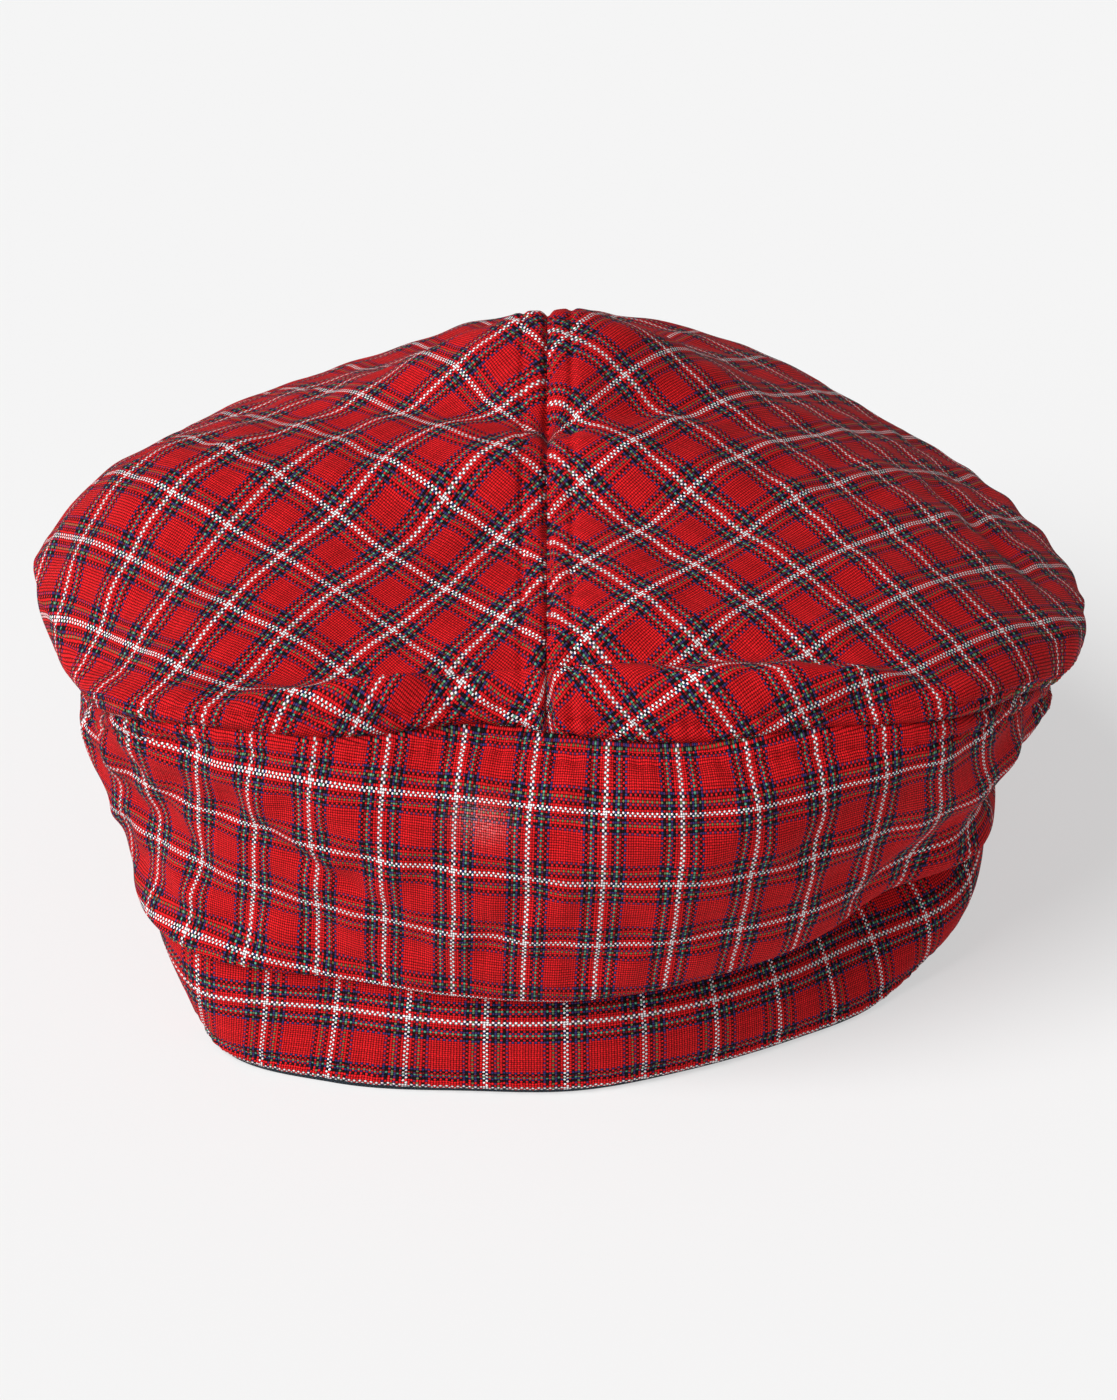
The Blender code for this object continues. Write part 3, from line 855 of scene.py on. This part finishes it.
def drifted(nodes, place, run, pitch, scale):
    """Place along a run of the cloth, counted in threads that wander a little."""
    drift = nodes.calc("SUBTRACT", nodes.noise(place, scale, DRIFT_DETAIL), 0.5)
    return nodes.calc("ADD", nodes.calc("DIVIDE", run, pitch), nodes.calc("MULTIPLY", drift, THREAD_DRIFT))


def worn_share(nodes, place, split):
    """How far the cloth is rubbed pale at its worn place, speckled by thread."""
    (across, along), (reach_across, reach_along) = WORN_PLACE
    off_across = nodes.calc("DIVIDE", nodes.calc("SUBTRACT", split.outputs[0], across), reach_across)
    off_along = nodes.calc("DIVIDE", nodes.calc("SUBTRACT", split.outputs[1], along), reach_along)
    off = nodes.calc("ADD", nodes.calc("MULTIPLY", off_across, off_across),
                     nodes.calc("MULTIPLY", off_along, off_along))
    near = nodes.calc("EXPONENT", nodes.calc("MULTIPLY", off, -1.0))
    scale, start, gain = WORN_SPECKLE
    speckle = nodes.calc("MULTIPLY", nodes.calc("SUBTRACT", nodes.noise(place, scale), start), gain)
    return nodes.calc("MULTIPLY", nodes.calc("MULTIPLY", near, speckle), WORN_MOST)


def checked_cloth(name, worn=False):
    """Yarn-dyed check: plain weave of coloured threads, from the UV map of the threads."""
    material, shader = new_material(name)
    nodes = Nodes(material)
    place = nodes.add("ShaderNodeUVMap", uv_map="threads").outputs["UV"]
    split = nodes.add("ShaderNodeSeparateXYZ")
    nodes.link(place, split.inputs[0])
    across = drifted(nodes, place, split.outputs[0], WARP_PITCH, DRIFT_SCALES[0])
    along = drifted(nodes, place, split.outputs[1], WEFT_PITCH, DRIFT_SCALES[1])
    warp, weft, warp_number, weft_number = woven(nodes, across, along)
    warp_colour = nodes.stripes(across, WARP_HALF, WARP_COLOURS)
    weft_colour = nodes.stripes(along, WEFT_HALF, WEFT_COLOURS)
    warp_on_top = nodes.calc("GREATER_THAN", warp, weft)
    colour = nodes.mix("MIX", warp_on_top, weft_colour, warp_colour)
    if worn:
        colour = nodes.mix("MIX", worn_share(nodes, place, split), colour, WORN_COLOUR)
    weft_on_top = nodes.calc("SUBTRACT", 1.0, warp_on_top)
    height = nodes.calc("MAXIMUM", warp, weft)
    own_height = nodes.calc("ADD", height, nodes.calc("MULTIPLY", weft_on_top, WARP_FACED))
    depth = nodes.gap_shade(own_height)
    thread = nodes.add("ShaderNodeTexWhiteNoise", noise_dimensions="2D")
    number = nodes.add("ShaderNodeCombineXYZ")
    nodes.link(nodes.calc("MULTIPLY", warp_on_top, warp_number), number.inputs[0])
    nodes.link(nodes.calc("MULTIPLY", weft_on_top, weft_number), number.inputs[1])
    nodes.link(number.outputs[0], thread.inputs["Vector"])
    uneven = nodes.calc("ADD", nodes.calc("MULTIPLY", thread.outputs["Value"], UNEVEN), 1.0 - UNEVEN / 2)
    broad = nodes.calc("ADD", nodes.calc("MULTIPLY", nodes.noise(place, BROAD_SCALE), BROAD), 1.0 - BROAD / 2)
    light = nodes.calc("MULTIPLY", nodes.calc("MULTIPLY", depth, uneven), broad)
    nodes.finish(shader, colour, light, height, THREAD_BUMP, THREAD_HEIGHT)
    shader.inputs["Roughness"].default_value = CLOTH_ROUGH
    shader.inputs["Specular IOR Level"].default_value = CLOTH_SPECULAR
    shader.inputs["Sheen Weight"].default_value = CLOTH_SHEEN
    shader.inputs["Sheen Roughness"].default_value = SHEEN_ROUGH
    return material


def plain_cloth(name, colour):
    """Dark plain weave of the facing."""
    material, shader = new_material(name)
    nodes = Nodes(material)
    place = nodes.add("ShaderNodeUVMap", uv_map="threads").outputs["UV"]
    split = nodes.add("ShaderNodeSeparateXYZ")
    nodes.link(place, split.inputs[0])
    across = nodes.calc("DIVIDE", split.outputs[0], FACING_PITCH)
    along = nodes.calc("DIVIDE", split.outputs[1], FACING_PITCH)
    warp, weft, _, _ = woven(nodes, across, along)
    height = nodes.calc("MAXIMUM", warp, weft)
    shade = nodes.gap_shade(height)
    nodes.finish(shader, (*colour, 1.0), shade, height, FACING_BUMP, FACING_HEIGHT)
    shader.inputs["Roughness"].default_value = FACING_ROUGH
    return material


# ---------------------------------------------------------------- studio


def add_floor():
    """Plain pale table."""
    mesh = bpy.data.meshes.new("floor")
    half = FLOOR_SIDE / 2
    corners = [(-half, -half, 0), (half, -half, 0), (half, half, 0), (-half, half, 0)]
    mesh.from_pydata(corners, [], [(0, 1, 2, 3)])
    floor = bpy.data.objects.new("floor", mesh)
    bpy.context.scene.collection.objects.link(floor)
    material, shader = new_material("white_table")
    shader.inputs["Base Color"].default_value = (*FLOOR_COLOUR, 1.0)
    shader.inputs["Roughness"].default_value = FLOOR_ROUGH
    shader.inputs["Specular IOR Level"].default_value = 0.0
    shader.inputs["Emission Color"].default_value = (1.0, 1.0, 1.0, 1.0)
    shader.inputs["Emission Strength"].default_value = FLOOR_GLOW
    mesh.materials.append(material)


def add_light(name, place, spread, strength):
    """Broad even light that comes from the direction of a place."""
    data = bpy.data.lights.new(name, "SUN")
    data.angle = math.radians(spread)
    data.energy = strength
    light = bpy.data.objects.new(name, data)
    light.location = place
    light.rotation_euler = (-Vector(place)).to_track_quat("-Z", "Y").to_euler()
    bpy.context.scene.collection.objects.link(light)


def add_world():
    """Weak even light from all sides."""
    world = bpy.data.worlds.new("studio")
    world.use_nodes = True
    background = world.node_tree.nodes["Background"]
    background.inputs["Color"].default_value = (*WORLD_COLOUR, 1.0)
    background.inputs["Strength"].default_value = WORLD_STRENGTH
    bpy.context.scene.world = world


def add_camera():
    """Camera at the photograph's angle, looking down on the cap's front."""
    data = bpy.data.cameras.new("camera")
    data.lens = CAMERA_LENS
    data.sensor_width = CAMERA_SENSOR
    camera = bpy.data.objects.new("camera", data)
    camera.location = (np.array(CAMERA_PLACE) - ORIGIN) * MM
    camera.rotation_euler = (math.radians(90.0 - CAMERA_DOWN), 0.0, 0.0)
    bpy.context.scene.collection.objects.link(camera)
    bpy.context.scene.camera = camera


# ---------------------------------------------------------------- scene

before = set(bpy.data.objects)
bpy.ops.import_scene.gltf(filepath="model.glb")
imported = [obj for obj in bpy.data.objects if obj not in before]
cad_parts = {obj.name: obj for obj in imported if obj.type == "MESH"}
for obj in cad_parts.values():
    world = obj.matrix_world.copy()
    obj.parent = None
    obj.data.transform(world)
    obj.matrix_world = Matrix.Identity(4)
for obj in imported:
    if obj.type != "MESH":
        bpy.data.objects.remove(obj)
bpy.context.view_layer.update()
ORIGIN = frame_shift()

add_camera()
add_world()
add_floor()
add_light("key", *KEY_LIGHT)
add_light("side", *SIDE_LIGHT)
bpy.context.scene.view_settings.view_transform = "Standard"

cloth = checked_cloth("checked_cotton")
wall_cloth = checked_cloth("checked_cotton_worn", worn=True)
navy = plain_cloth("navy_cotton", FACING_COLOUR)
crown_piece("crown_left_cloth", -1, cloth)
crown_piece("crown_right_cloth", 1, cloth)
wall_piece("side_wall_cloth", wall_cloth)
band_piece("band_cloth", cloth)
facing_piece("facing_cloth", navy)
